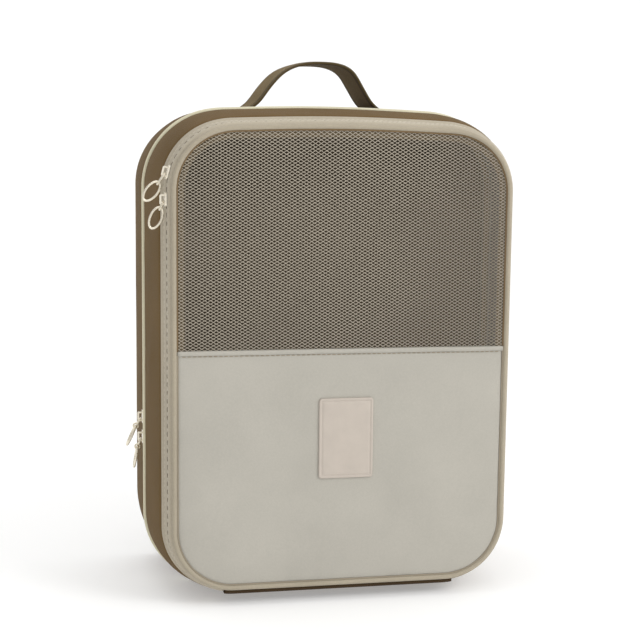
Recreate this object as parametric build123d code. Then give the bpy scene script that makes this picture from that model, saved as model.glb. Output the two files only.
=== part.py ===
from build123d import *
import os

# Two-compartment travel shoe bag. Millimetres, +Z up, front towards -Y, +X to the
# right as seen from the front. The origin is on the floor, under the middle of the bag.
# Walls are bands that run round a rounded rectangle. A band's section is given as
# (outset, depth): outset is how far a point stands outside the front panel's seam,
# and depth is how far it lies behind the front panel's face.

# Body
PANEL_WIDTH = 234.0
PANEL_HEIGHT = 316.0
PANEL_RADIUS = 40.0
BAG_DEPTH = 150.0
FLOOR_OUTSET = 15.0  # the rear zip's tapes lie on the floor, and the walls are flattened there
FABRIC = 1.2
FOAM = 3.0
LINING = 0.6
GAP = 0.1  # between the plies of one wall

# Front zip and lid
ZIP_OUTSET = 5.8  # outer face of the front zip's tapes
ZIP_DEPTH = 9.0  # middle of the front slit
TAPE = 1.0
TAPE_BEND_DEPTH = 14.5  # the box tape leaves the zip's plane here
TAPE_END = (8.6, 19.6)  # and meets the gusset here
SLIT_HALF = 0.8
COIL_GAP_HALF = 0.75
COIL_WIDTH = 1.3
COIL_THICK = 1.2
LID_HINGE_DEPTH = 6.6
LID_HINGE_HALF = 84.0  # the front zip stops this far either side of the middle
TAPE_SEAM_WIDTH = 3.4  # the lid tape is flat behind the panel's seam for this far
LID_FLAP_FACES = (5.7, 4.6)  # outsets of the lid hinge's two faces at its fold
WINDOW_SHARE = 0.473  # share of the panel's height that is mesh
WINDOW_THICK = 0.8
HEM_HEIGHT = 3.0
LID_PAD = 2.4

# Front box, from the zip back to the divider
FRONT_WALL_START = (9.2, 19.7)
FRONT_WALL_END_DEPTH = 70.0
FRONT_WALL_BOW = 1.2
MID_PIPING_DEPTH = 71.3
MID_PIPING_RADIUS = 1.2
DIVIDER_DEPTHS = (70.5, 72.5)
DIVIDER_WRAP_OUTSET = 13.0
FRONT_TAB_DEPTHS = (9.9, 14.3)

# Rear zip
REAR_ZIP_OUTSET = 15.5  # outer face of the walls beside it
REAR_TAPE_OUTSET = 15.1
REAR_ZIP_DEPTH = 80.0
REAR_TAPE_NEAR = 72.6
REAR_TAPE_FAR = 87.2
REAR_TAB_DEPTHS = (73.0, 79.0)
TAB_LENGTH = 8.0
TAB_THICK = 0.8

# Rear shell, which opens like a book about its right-hand edge
BOOK_HINGE_LOW = 62.0
BOOK_HINGE_HIGH = 282.0
BOOK_FOLD_HALF = 0.4  # half the gap at the hinge's fold line
REAR_WALL_START_DEPTH = 87.4
REAR_WALL_END = (14.4, 146.4)
REAR_WALL_BOW = 0.8
BACK_OUTSET = 10.8
BACK_INSET = 0.6  # the back panel lies this far in from the rear piping's outer side
BACK_PAD_MARGIN = 7.5
BACK_BINDING_WIDTH = 6.9

# Piping and binding
PIPING_RADIUS = 1.8
LID_PIPING_PLACE = (1.95, 0.4)
REAR_PIPING_RADIUS = 1.7
REAR_PIPING_OUTSET = 12.6
BINDING_WIDTH = 6.2
BINDING_FAR = 3.2

# Patch and handle
PATCH_SIZE = (39.0, 57.0, 1.5)
PATCH_CENTRE = (1.7, 118.5)
PATCH_RADIUS = 2.0
STRAP_WIDTH = 38.0
STRAP_THICK = 2.2
STRAP_DEPTH = 119.0
STRAP_HALF_SPAN = 47.0
STRAP_FOOT = 5.0
STRAP_RISE = 35.0
STRAP_TOP_OUTSET = 15.9  # the feet stand on the rear gusset, which bows out to this
BACKING_OUTSET = 9.7
BACKING_HALF_LENGTH = 66.0
BACKING_WIDTH = 32.0

# Zip sliders
SLIDER_LENGTH = 10.0
SLIDER_WIDTH = 7.4
FLANGE = 1.0
SLIDER_PLAY = 0.35
WEB_THICK = 0.9
BRIDGE_HOLE = 2.3
BRIDGE_BAR = 1.1
BRIDGE_WIDTH = 2.0
BRIDGE_SPAN = 7.0
LINK_WIRE = 0.65
LINK_HALF_WIDTH = 2.1
UPPER_FRONT_LINK_STRAIGHT = 4.8
LOWER_FRONT_LINK_STRAIGHT = 1.8
REAR_LINK_STRAIGHT = 0.6
EYE_RADIUS = 1.8
EYE_WIRE = 0.6
RING_WIRE = 0.8
RING_HALF_LENGTH = 7.7
RING_HALF_WIDTH = 3.9
RING_HANG = 1.8  # a front ring's apex stands this far above the link's lower wire
LINK_DROP = 1.4  # a link hangs this far below the middle of its bridge

# Where the sliders are parked
UPPER_FRONT_TURN = 15.0  # degrees round the top left corner
LOWER_FRONT_Z = 284.6
UPPER_REAR_Z = 123.0
LOWER_REAR_Z = 108.0

half_w = PANEL_WIDTH / 2
half_h = PANEL_HEIGHT / 2
corner_x = half_w - PANEL_RADIUS
corner_z = half_h - PANEL_RADIUS
mid_z = FLOOR_OUTSET + half_h
front_y = -BAG_DEPTH / 2
hem_z = mid_z + half_h - WINDOW_SHARE * PANEL_HEIGHT
big = 1000.0


def block(x, y, z):
    """A box from its three pairs of limits."""
    size = [b - a for a, b in (x, y, z)]
    middle = [(a + b) / 2 for a, b in (x, y, z)]
    return Pos(*middle) * Box(*size)


floor_half = block((-big, big), (-big, big), (-big, 0))


def band(section, flat_bottom=False):
    """A closed band round the bag, from a sketch in (outset, depth)."""
    face = Pos(PANEL_RADIUS, front_y, 0) * section
    corners = [
        (corner_x, corner_z, 0, 2 * corner_x),
        (-corner_x, corner_z, 90, 2 * corner_z),
        (-corner_x, -corner_z, 180, 2 * corner_x),
        (corner_x, -corner_z, 270, 2 * corner_z),
    ]
    pieces = []
    for x, z, turn, run in corners:
        place = Pos(x, 0, mid_z + z) * Rot(0, -turn, 0)
        pieces.append(place * revolve(face, Axis((0, 0, 0), (0, -1, 0)), 90))
        straight = extrude(Rot(0, -90, 0) * face, run, dir=(-1, 0, 0))
        pieces.append(place * straight)
    ring = pieces[0].fuse(*pieces[1:])
    return ring - floor_half if flat_bottom else ring


def strip(outer, inner):
    """A section with the given outer points and, back along the inside, inner points."""
    return make_face(Polyline(*outer, *reversed(inner), close=True))


def bowed(start, end, bow, thick, back=0.0):
    """A section of a bowed wall: from start to end, bulging out by bow in the middle."""
    middle = ((start[0] + end[0]) / 2 + bow - back, (start[1] + end[1]) / 2)
    a, b = (start[0] - back, start[1]), (end[0] - back, end[1])
    outer = ThreePointArc(a, middle, b)
    inner = ThreePointArc(
        (b[0] - thick, b[1]), (middle[0] - thick, middle[1]), (a[0] - thick, a[1])
    )
    ends = [Line(b, (b[0] - thick, b[1])), Line((a[0] - thick, a[1]), a)]
    return make_face([outer, ends[0], inner, ends[1]])


def plate(outset, near, far):
    """A rounded plate parallel to the front panel, between two depths."""
    outline = RectangleRounded(
        PANEL_WIDTH + 2 * outset, PANEL_HEIGHT + 2 * outset, PANEL_RADIUS + outset
    )
    face = Pos(0, front_y + near, mid_z) * Rot(90, 0, 0) * outline
    return extrude(face, far - near, dir=(0, 1, 0))


def tube_loop(outset, depth, radius=PIPING_RADIUS):
    """A round cord that runs all the way round the bag."""
    return band(Pos(outset, depth) * Circle(radius))


def tape(outset, near, far):
    """The section of a flat tape between two depths, its outer face at outset."""
    return strip([(outset, near), (outset, far)], [(outset - TAPE, near), (outset - TAPE, far)])


def coil(outset, near):
    """The section of one side of a coil, under a tape whose outer face is at outset."""
    top = outset - TAPE - GAP
    low, far = top - COIL_THICK, near + COIL_WIDTH
    return strip([(top, near), (top, far)], [(low, near), (low, far)])


def end_tab(outset, near, far):
    """The section of a tab sewn over the end of a zip whose tapes stand at outset."""
    low, top = outset + GAP, outset + GAP + TAB_THICK
    return strip([(top, near), (top, far)], [(low, near), (low, far)])


parts = {}

# Which part of a ring is zip and which is fabric hinge
everywhere = (-big, big)
low_half = (-big, mid_z / 2)
right_half = (half_w / 2, big)
hinge_half = LID_HINGE_HALF - 0.3
lid_hinge_zone = block((-LID_HINGE_HALF, LID_HINGE_HALF), everywhere, low_half)
lid_hinge_strip = block((-hinge_half, hinge_half), everywhere, low_half)
book_hinge_zone = block(right_half, everywhere, (BOOK_HINGE_LOW, BOOK_HINGE_HIGH))
book_hinge_strip = block(right_half, everywhere, (BOOK_HINGE_LOW + 0.3, BOOK_HINGE_HIGH - 0.3))


def lid():
    """The front lid: mesh window over a padded fabric panel, piping and zip tape."""
    above = block(everywhere, everywhere, (hem_z, big))
    below = block(everywhere, everywhere, (-big, hem_z))
    below_pad = block(everywhere, everywhere, (-big, hem_z - 2))
    parts["lid_mesh_window"] = plate(0, 0, WINDOW_THICK) & above
    parts["lid_fabric_panel"] = plate(0, 0, FABRIC) & below
    pad_edge = -BINDING_WIDTH - 0.6
    pad_near = FABRIC + GAP
    pad_far = pad_near + LID_PAD
    parts["lid_foam"] = plate(pad_edge, pad_near, pad_far) & below_pad
    parts["lid_lining"] = plate(pad_edge, pad_far + GAP, pad_far + GAP + LINING) & below_pad
    hem_span = (-half_w + 1.0, half_w - 1.0)
    hem_depth = (front_y - 0.7, front_y - 0.05)
    parts["window_hem"] = block(hem_span, hem_depth, (hem_z - HEM_HEIGHT, hem_z))
    width, height, thick = PATCH_SIZE
    patch_face = Pos(PATCH_CENTRE[0], front_y, PATCH_CENTRE[1]) * Rot(90, 0, 0)
    patch = patch_face * RectangleRounded(width, height, PATCH_RADIUS)
    parts["leather_patch"] = extrude(patch, thick, dir=(0, -1, 0))
    parts["lid_piping"] = tube_loop(*LID_PIPING_PLACE)
    seam_near = LID_PIPING_PLACE[1] + PIPING_RADIUS + GAP
    seam_far = seam_near + TAPE
    seam_end = TAPE_SEAM_WIDTH
    tape_end = ZIP_DEPTH - SLIT_HALF
    under = ZIP_OUTSET - TAPE
    lid_tape = strip(
        [(0.0, seam_near), (seam_end, seam_near), (ZIP_OUTSET, 4.9), (ZIP_OUTSET, tape_end)],
        [(0.0, seam_far), (seam_end - 0.4, seam_far), (under, 5.4), (under, tape_end)],
    )
    parts["front_zip_lid_tape"] = band(lid_tape) - lid_hinge_zone
    flap_end = LID_HINGE_DEPTH - 0.5
    face, back = LID_FLAP_FACES
    flap = strip(
        [(0.0, seam_near), (seam_end, seam_near), (face, flap_end)],
        [(0.0, seam_far), (seam_end - 0.4, seam_far), (back, flap_end)],
    )
    parts["lid_hinge_flap"] = band(flap) & lid_hinge_strip
    lid_coil = coil(ZIP_OUTSET, ZIP_DEPTH - COIL_GAP_HALF - COIL_WIDTH)
    parts["front_zip_lid_coil"] = band(lid_coil) - lid_hinge_zone
    binding = strip(
        [(-0.3, pad_near), (-0.3, BINDING_FAR)],
        [(-BINDING_WIDTH, pad_near), (-BINDING_WIDTH, BINDING_FAR)],
    )
    parts["lid_seam_binding"] = band(binding)


def wall(name, near, far, bow):
    """A gusset's three plies: outer fabric, foam and lining."""
    parts[name] = band(bowed(near, far, bow, FABRIC), True)
    back = FABRIC + GAP
    parts[name + "_foam"] = band(bowed(near, far, bow, FOAM, back), True)
    back += FOAM + GAP
    parts[name + "_lining"] = band(bowed(near, far, bow, LINING, back), True)


def front_box():
    """The front compartment's box: gusset, zip halves, divider and hinge flaps."""
    start = ZIP_DEPTH + SLIT_HALF
    under = ZIP_OUTSET - TAPE
    end_out, end_depth = TAPE_END
    box_tape = strip(
        [(ZIP_OUTSET, start), (ZIP_OUTSET, TAPE_BEND_DEPTH), (end_out, end_depth)],
        [(under, start), (under, TAPE_BEND_DEPTH + 0.7), (end_out - TAPE, end_depth)],
    )
    parts["front_zip_box_tape"] = band(box_tape) - lid_hinge_zone
    flap_start = LID_HINGE_DEPTH + 1.3
    face, back = LID_FLAP_FACES
    flap = strip(
        [(face, flap_start), (face + 0.7, 13.0), (end_out, end_depth)],
        [(back, flap_start), (back + 0.8, 13.6), (end_out - TAPE, end_depth)],
    )
    parts["box_hinge_flap"] = band(flap) & lid_hinge_strip
    box_coil = coil(ZIP_OUTSET, ZIP_DEPTH + COIL_GAP_HALF)
    parts["front_zip_box_coil"] = band(box_coil) - lid_hinge_zone
    wall_end = (REAR_ZIP_OUTSET, FRONT_WALL_END_DEPTH)
    wall("front_gusset", FRONT_WALL_START, wall_end, FRONT_WALL_BOW)
    piping = tube_loop(REAR_ZIP_OUTSET - 1.0, MID_PIPING_DEPTH, MID_PIPING_RADIUS)
    parts["mid_piping"] = piping - floor_half

    rear_tape = tape(REAR_TAPE_OUTSET, REAR_TAPE_NEAR, REAR_ZIP_DEPTH - SLIT_HALF)
    parts["rear_zip_front_tape"] = band(rear_tape, True) - book_hinge_zone
    flap = tape(REAR_TAPE_OUTSET, REAR_TAPE_NEAR, REAR_ZIP_DEPTH - BOOK_FOLD_HALF)
    parts["book_hinge_front_flap"] = band(flap) & book_hinge_strip
    rear_coil = coil(REAR_TAPE_OUTSET, REAR_ZIP_DEPTH - COIL_GAP_HALF - COIL_WIDTH)
    parts["rear_zip_front_coil"] = band(rear_coil, True) - book_hinge_zone

    near, far = DIVIDER_DEPTHS
    divider_outset = REAR_ZIP_OUTSET - FABRIC - FOAM - LINING - 4.5
    parts["divider_panel"] = plate(divider_outset, near, far)
    wrap_outset = divider_outset + GAP
    wrap_near, wrap_far = near - 0.3, far - 0.1
    wrap = strip(
        [(DIVIDER_WRAP_OUTSET, wrap_near), (DIVIDER_WRAP_OUTSET, wrap_far)],
        [(wrap_outset, wrap_near), (wrap_outset, wrap_far)],
    )
    parts["divider_binding"] = band(wrap, True)

    tab = end_tab(ZIP_OUTSET, *FRONT_TAB_DEPTHS)
    tab_zone = block((LID_HINGE_HALF, LID_HINGE_HALF + TAB_LENGTH), everywhere, low_half)
    parts["front_zip_end_tabs"] = band(tab) & (tab_zone + mirror(tab_zone, Plane.YZ))
    tab = end_tab(REAR_TAPE_OUTSET, *REAR_TAB_DEPTHS)
    low = block(right_half, everywhere, (BOOK_HINGE_LOW - TAB_LENGTH, BOOK_HINGE_LOW))
    high = block(right_half, everywhere, (BOOK_HINGE_HIGH, BOOK_HINGE_HIGH + TAB_LENGTH))
    parts["rear_zip_end_tabs"] = band(tab) & (low + high)


def handle_outline(rise, span, lift):
    """Points of one face of the strap's arch, from the left foot to the right."""
    half = [(span, lift), (0.9 * span, 0.16 * rise), (0.76 * span, 0.53 * rise)]
    half += [(0.57 * span, 0.83 * rise), (0.3 * span, 0.97 * rise)]
    left = [(-x, z) for x, z in half]
    return left + [(0, rise)] + list(reversed(half))


def rear_shell():
    """The rear compartment: gusset, back panel, zip halves and piping."""
    rear_tape = tape(REAR_TAPE_OUTSET, REAR_ZIP_DEPTH + SLIT_HALF, REAR_TAPE_FAR)
    parts["rear_zip_rear_tape"] = band(rear_tape, True) - book_hinge_zone
    flap = tape(REAR_TAPE_OUTSET, REAR_ZIP_DEPTH + BOOK_FOLD_HALF, REAR_TAPE_FAR)
    parts["book_hinge_rear_flap"] = band(flap) & book_hinge_strip
    rear_coil = coil(REAR_TAPE_OUTSET, REAR_ZIP_DEPTH + COIL_GAP_HALF)
    parts["rear_zip_rear_coil"] = band(rear_coil, True) - book_hinge_zone
    wall_start = (REAR_ZIP_OUTSET, REAR_WALL_START_DEPTH)
    wall("rear_gusset", wall_start, REAR_WALL_END, REAR_WALL_BOW)
    piping_depth = BAG_DEPTH - REAR_PIPING_RADIUS
    piping = tube_loop(REAR_PIPING_OUTSET, piping_depth, REAR_PIPING_RADIUS)
    parts["rear_piping"] = piping - floor_half

    far_face = BAG_DEPTH - BACK_INSET
    parts["rear_panel"] = plate(BACK_OUTSET, far_face - FABRIC, far_face)
    pad_edge = BACK_OUTSET - BACK_PAD_MARGIN
    pad_far = far_face - FABRIC - GAP
    parts["rear_panel_foam"] = plate(pad_edge, pad_far - FOAM, pad_far)
    lining_far = pad_far - FOAM - GAP
    parts["rear_panel_lining"] = plate(pad_edge, lining_far - LINING, lining_far)
    edge_out = BACK_OUTSET - GAP
    edge_in = edge_out - BACK_BINDING_WIDTH
    near = pad_far - 1.5
    binding = strip([(edge_out, near), (edge_out, pad_far)], [(edge_in, near), (edge_in, pad_far)])
    parts["rear_seam_binding"] = band(binding)


def handle():
    """Webbing strap sewn to the top of the rear gusset, over a reinforcing patch inside."""
    top = mid_z + half_h + STRAP_TOP_OUTSET
    outer = handle_outline(STRAP_RISE, STRAP_HALF_SPAN, STRAP_THICK)
    inner = handle_outline(STRAP_RISE - STRAP_THICK, STRAP_HALF_SPAN - STRAP_THICK, 0)
    foot = STRAP_HALF_SPAN + STRAP_FOOT
    over = Spline(*outer, tangents=[(1, 0.35), (1, -0.35)])
    under = Spline(*inner, tangents=[(1, 0.35), (1, -0.35)])
    left = Polyline(over @ 0, (-foot, STRAP_THICK), (-foot, 0), under @ 0)
    right = Polyline(over @ 1, (foot, STRAP_THICK), (foot, 0), under @ 1)
    face = make_face([over, right, under, left])
    near = front_y + STRAP_DEPTH - STRAP_WIDTH / 2
    place = Pos(0, near, top) * Rot(90, 0, 0) * face
    parts["handle_strap"] = extrude(place, STRAP_WIDTH, dir=(0, 1, 0))
    patch_top = mid_z + half_h + BACKING_OUTSET
    middle = front_y + STRAP_DEPTH - 2.0
    depth = (middle - BACKING_WIDTH / 2, middle + BACKING_WIDTH / 2)
    length = (-BACKING_HALF_LENGTH, BACKING_HALF_LENGTH)
    parts["handle_reinforcement"] = block(length, depth, (patch_top - 1.0, patch_top))


def slider_body():
    """A coil zip slider. Its outward side is -X, it runs along Z, and its origin is
    on the tapes' outer face, in the middle of the slit."""
    stack = TAPE + GAP + COIL_THICK
    half = SLIDER_LENGTH / 2
    outline = RectangleRounded(SLIDER_LENGTH, SLIDER_WIDTH, 2.0)
    flange = Rot(0, 90, 0) * outline
    outer = extrude(Pos(-SLIDER_PLAY - FLANGE, 0, 0) * flange, FLANGE, dir=(1, 0, 0))
    inner = extrude(Pos(stack + SLIDER_PLAY, 0, 0) * flange, FLANGE, dir=(1, 0, 0))
    web = block(
        (-SLIDER_PLAY, stack + SLIDER_PLAY),
        (-WEB_THICK / 2, WEB_THICK / 2),
        (half - 5.0, half - 0.6),
    )
    face = -SLIDER_PLAY - FLANGE
    arch = block(
        (face - BRIDGE_HOLE - BRIDGE_BAR, face),
        (-BRIDGE_WIDTH / 2, BRIDGE_WIDTH / 2),
        (-BRIDGE_SPAN / 2, BRIDGE_SPAN / 2),
    )
    outer_edges = arch.edges().filter_by(Axis.Y).group_by(Axis.X)[0]
    arch = fillet(outer_edges, 1.0)
    hole = block(
        (face - BRIDGE_HOLE, face),
        (-BRIDGE_WIDTH, BRIDGE_WIDTH),
        (-BRIDGE_SPAN / 2 + BRIDGE_BAR, BRIDGE_SPAN / 2 - BRIDGE_BAR),
    )
    return outer + inner + web + (arch - hole)


def wire_loop(path, radius):
    """A closed wire of round section along a planar path."""
    start = Plane(path @ 0, z_dir=path % 0)
    return sweep(start * Circle(radius), path=path)


def racetrack(straight):
    """A link's wire: two half circles joined by straights, in the YZ plane. Its apex
    is at the origin and it hangs along -Z."""
    r = LINK_HALF_WIDTH
    low = -r - straight
    upper = ThreePointArc((0, r, -r), (0, 0, 0), (0, -r, -r))
    lower = ThreePointArc((0, -r, low), (0, 0, low - r), (0, r, low))
    sides = [Line(upper @ 1, lower @ 0), Line(lower @ 1, upper @ 0)]
    edges = [upper.edge(), sides[0].edge(), lower.edge(), sides[1].edge()]
    return wire_loop(Wire(edges), LINK_WIRE)


def oval_ring(face_on):
    """A pull ring that hangs along -Z from its apex, facing Y if face_on, else X."""
    middle = (0, 0, -RING_HALF_LENGTH)
    facing_front = Plane(middle, x_dir=(1, 0, 0), z_dir=(0, -1, 0))
    facing_side = Plane(middle, x_dir=(0, 1, 0), z_dir=(1, 0, 0))
    plane = facing_front if face_on else facing_side
    return wire_loop((plane * Ellipse(RING_HALF_WIDTH, RING_HALF_LENGTH)).wire(), RING_WIRE)


def eye():
    """A small eye in the XZ plane, its centre at the origin."""
    return Rot(90, 0, 0) * Torus(EYE_RADIUS, EYE_WIRE)


def puller(name, place, link_tilt, ring_tilt, straight, front):
    """A slider with its link and ring. Tilts are degrees outward from hanging down, and
    straight is the length of the link's straight sides."""
    parts[name + "_slider"] = place * slider_body()
    pivot = place * Pos(-SLIDER_PLAY - FLANGE - BRIDGE_HOLE / 2, 0, -LINK_DROP)
    hang = Pos(*pivot.position)
    link_turn = hang * Rot(0, link_tilt, 0)
    length = straight + 2 * LINK_HALF_WIDTH
    link = racetrack(straight)
    if front:
        lower_pivot = link_turn * Pos(0, 0, -length)
    else:
        lower_pivot = link_turn * Pos(0, 0, -length - EYE_RADIUS)
        link += Pos(0, 0, -length - EYE_RADIUS) * eye()
    parts[name + "_link"] = link_turn * link
    lift = RING_HANG if front else 0
    ring = Pos(*lower_pivot.position) * Rot(0, ring_tilt, 0) * Pos(0, 0, lift)
    parts[name + "_ring"] = ring * oval_ring(front)
    print(name, "link pivot", pivot.position, "ring pivot", lower_pivot.position)


def pullers():
    """Both pairs of sliders, as they are parked on the left side."""
    y = front_y + ZIP_DEPTH
    left = -half_w - ZIP_OUTSET
    turned = Pos(-corner_x, y, mid_z + corner_z) * Rot(0, UPPER_FRONT_TURN, 0)
    on_corner = turned * Pos(-PANEL_RADIUS - ZIP_OUTSET, 0, 0)
    puller("front_upper", on_corner, 34, 39, UPPER_FRONT_LINK_STRAIGHT, True)
    low = Pos(left, y, LOWER_FRONT_Z)
    puller("front_lower", low, 22, 24, LOWER_FRONT_LINK_STRAIGHT, True)
    y = front_y + REAR_ZIP_DEPTH
    left = -half_w - REAR_TAPE_OUTSET
    puller("rear_upper", Pos(left, y, UPPER_REAR_Z), 33, 25, REAR_LINK_STRAIGHT, False)
    puller("rear_lower", Pos(left, y, LOWER_REAR_Z), 22, 10, REAR_LINK_STRAIGHT, False)


lid()
front_box()
rear_shell()
handle()
pullers()

os.makedirs("parts", exist_ok=True)
for name, shape in parts.items():
    solids = [s for s in shape.solids() if s.volume > 0.01]
    whole = solids[0] if len(solids) == 1 else Compound(children=solids)
    export_step(whole, f"parts/{name}.step")
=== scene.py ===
"""Looks of the travel shoe bag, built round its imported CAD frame."""

import math

import bmesh
import bpy
import numpy as np
from mathutils import Matrix, Vector


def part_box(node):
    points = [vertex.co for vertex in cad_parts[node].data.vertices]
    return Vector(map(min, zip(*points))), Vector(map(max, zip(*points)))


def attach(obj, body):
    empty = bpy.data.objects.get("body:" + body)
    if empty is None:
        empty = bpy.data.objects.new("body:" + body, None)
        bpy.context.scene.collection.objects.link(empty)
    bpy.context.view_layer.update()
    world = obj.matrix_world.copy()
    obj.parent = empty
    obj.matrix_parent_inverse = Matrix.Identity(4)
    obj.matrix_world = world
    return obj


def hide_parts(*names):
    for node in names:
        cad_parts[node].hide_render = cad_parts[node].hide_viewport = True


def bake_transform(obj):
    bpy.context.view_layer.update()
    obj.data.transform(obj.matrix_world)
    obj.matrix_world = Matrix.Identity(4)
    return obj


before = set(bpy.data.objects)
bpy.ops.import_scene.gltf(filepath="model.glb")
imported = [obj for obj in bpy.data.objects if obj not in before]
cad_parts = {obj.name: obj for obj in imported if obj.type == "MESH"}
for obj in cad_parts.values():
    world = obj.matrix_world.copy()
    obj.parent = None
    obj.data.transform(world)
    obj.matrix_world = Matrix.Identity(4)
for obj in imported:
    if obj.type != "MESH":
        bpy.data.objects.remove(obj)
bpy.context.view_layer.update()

MM = 0.001

# ---------------- places, from the frame
panel_lo, panel_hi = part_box("lid_fabric_panel")
window_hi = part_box("lid_mesh_window")[1]
HALF_W = panel_hi.x
BOTTOM = panel_lo.z
TOP = window_hi.z
HEM_Z = panel_hi.z
FRONT = panel_lo.y
MID_Z = (BOTTOM + TOP) / 2
HALF_H = (TOP - BOTTOM) / 2
RADIUS = 40 * MM
CORNER_X = HALF_W - RADIUS
CORNER_Z = HALF_H - RADIUS


def outset_of(node):
    """How far a ring node reaches outside the front panel's seam."""
    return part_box(node)[1].x - HALF_W


def depth_of(y):
    """Depth behind the front panel's face."""
    return y - FRONT


ZIP_FACE = outset_of("front_zip_lid_tape")
LID_TAPE_END = depth_of(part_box("front_zip_lid_tape")[1].y)
BOX_TAPE_START = depth_of(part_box("front_zip_box_tape")[0].y)
FRONT_SLIT = (LID_TAPE_END + BOX_TAPE_START) / 2
GUSSET_START = depth_of(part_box("front_gusset")[0].y)
GUSSET_END = depth_of(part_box("front_gusset")[1].y)
REAR_ZIP_FACE = outset_of("rear_zip_front_tape")
REAR_FRONT_TAPE_END = depth_of(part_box("rear_zip_front_tape")[1].y)
REAR_REAR_TAPE_START = depth_of(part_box("rear_zip_rear_tape")[0].y)
REAR_SLIT = (REAR_FRONT_TAPE_END + REAR_REAR_TAPE_START) / 2
REAR_START = depth_of(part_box("rear_gusset")[0].y)
REAR_END = depth_of(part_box("rear_gusset")[1].y)
BACK = depth_of(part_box("rear_panel")[1].y)
LID_HINGE_HALF = -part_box("lid_hinge_flap")[0].x
WALL_OUT = ZIP_FACE + 3.4 * MM  # outset of the front gusset's front edge
BOOK_LOW, BOOK_HIGH = (corner.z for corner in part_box("book_hinge_rear_flap"))
STRAP_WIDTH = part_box("handle_strap")[1].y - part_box("handle_strap")[0].y

# ---------------- sizes of the sewing
CROWN = 2.4 * MM  # the middle of the top stands this much higher than its corners
CROWN_SPAN = 1.45 * HALF_W  # width over which the top rises
FLOOR_GAP = 0.3 * MM  # the lowest that cloth may hang
WALL_THICK = 4.2 * MM  # padded gusset
LINING_THICK = 0.6 * MM
LINING_INSET = 4.3 * MM  # from a wall's face in to its lining
SEAM_TURN = 0.7 * MM  # a wall's edges round down this much at their seams
SHELL_OUT = 15.5 * MM  # outset of the walls where the two compartments meet
BACK_OUT = 14.4 * MM  # outset of the rear wall at the back
FRONT_BOW, REAR_BOW = 1.2 * MM, 0.8 * MM  # how far the walls bulge
COIL_SINK = 1.5 * MM  # from a zip's face in to its coil
SLIT_GAP = 0.12 * MM  # from the slit's middle to each coil's tips
ZIP_END_GAP = 0.3 * MM  # between a zip's end and a fabric hinge
TAB_LENGTH = 8 * MM
STRAP_FOOT = 5 * MM
STRAP_THICK = 2.2 * MM


# ---------------- paths round the bag
def loop_length(outset):
    return 4 * (CORNER_X + CORNER_Z) + 2 * math.pi * (RADIUS + outset)


def loop_at(s, outset):
    """Base points and outward normals, as (x, z), at lengths s along the loop of an
    outset. The loop starts at the bottom's middle and runs to +X, up, and round."""
    s = np.asarray(s, float) % loop_length(outset)
    arc = math.pi / 2 * (RADIUS + outset)
    runs = [CORNER_X, arc, 2 * CORNER_Z, arc, 2 * CORNER_X, arc, 2 * CORNER_Z, arc, CORNER_X]
    ends = np.cumsum(runs)
    starts = ends - runs
    which = np.minimum(np.searchsorted(ends, s, side="right"), 8)
    t = (s - starts[which]) / np.array(runs)[which]
    corners = np.array([(1, -1), (1, 1), (-1, 1), (-1, -1), (1, -1)], float)
    corners *= (CORNER_X, CORNER_Z)
    base = np.zeros((len(s), 2))
    turn = np.zeros(len(s))
    for k in range(9):
        on = which == k
        if k % 2:
            base[on] = corners[k // 2]
            turn[on] = -math.pi / 2 + math.pi / 2 * (k // 2 + t[on])
        else:
            here = corners[k // 2 - 1] if k else np.array([0, -CORNER_Z])
            there = corners[k // 2] if k < 8 else np.array([0, -CORNER_Z])
            base[on] = here + (there - here) * t[on, None]
            turn[on] = -math.pi / 2 + math.pi / 2 * (k // 2)
    return base, np.stack([np.cos(turn), np.sin(turn)], 1)


def crown(x, z, depth):
    """How far the top is drawn up at a point, less so on the rear shell."""
    high = np.clip((z - MID_Z) / HALF_H, 0, 1) ** 8
    fade = 1 - 0.75 * np.clip((depth - 84 * MM) / (30 * MM), 0, 1)
    return CROWN * fade * high * np.cos(math.pi * np.clip(x / CROWN_SPAN, -0.5, 0.5))


def place(s, outset, depth, loop_outset):
    """Points in the row frame from lengths, outsets and depths."""
    base, normal = loop_at(s, loop_outset)
    xz = base + normal * (RADIUS + np.asarray(outset))[..., None]
    z = xz[:, 1] + MID_Z
    z = np.maximum(z + crown(xz[:, 0], z, np.asarray(depth)), FLOOR_GAP)
    y = np.broadcast_to(FRONT + np.asarray(depth), z.shape)
    return np.stack([xz[:, 0], y, z], 1)


def s_of_bottom(x, outset):
    """Length at which the loop, near its start, passes x on the bottom right."""
    if x <= CORNER_X:
        return x
    return CORNER_X + math.asin((x - CORNER_X) / (RADIUS + outset)) * (RADIUS + outset)


def s_of_right(z, outset):
    """Length at which the loop passes height z on its right side."""
    return CORNER_X + math.pi / 2 * (RADIUS + outset) + (z - MID_Z + CORNER_Z)


def smooth_noise(u, v, scale, seed, octaves=3):
    """A sum of soft waves in two directions, about -1 to 1."""
    wave_rng = np.random.default_rng(seed)
    total = np.zeros(np.broadcast(u, v).shape)
    for k in range(octaves * 4):
        size = scale / (1.7 ** (k // 4))
        angle = wave_rng.uniform(0, math.pi)
        phase = wave_rng.uniform(0, 2 * math.pi)
        along = (u * math.cos(angle) + v * math.sin(angle)) / size * 2 * math.pi
        total += np.sin(along + phase) * 0.35 / (1.6 ** (k // 4))
    return total


def run_lengths(points):
    """Length along a polyline at each of its points."""
    return np.concatenate([[0], np.cumsum(np.linalg.norm(np.diff(points, axis=0), axis=1))])


# ---------------- meshes
def add_object(name, data):
    holder = bpy.data.objects.new(name, data)
    bpy.context.scene.collection.objects.link(holder)
    return holder


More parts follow.
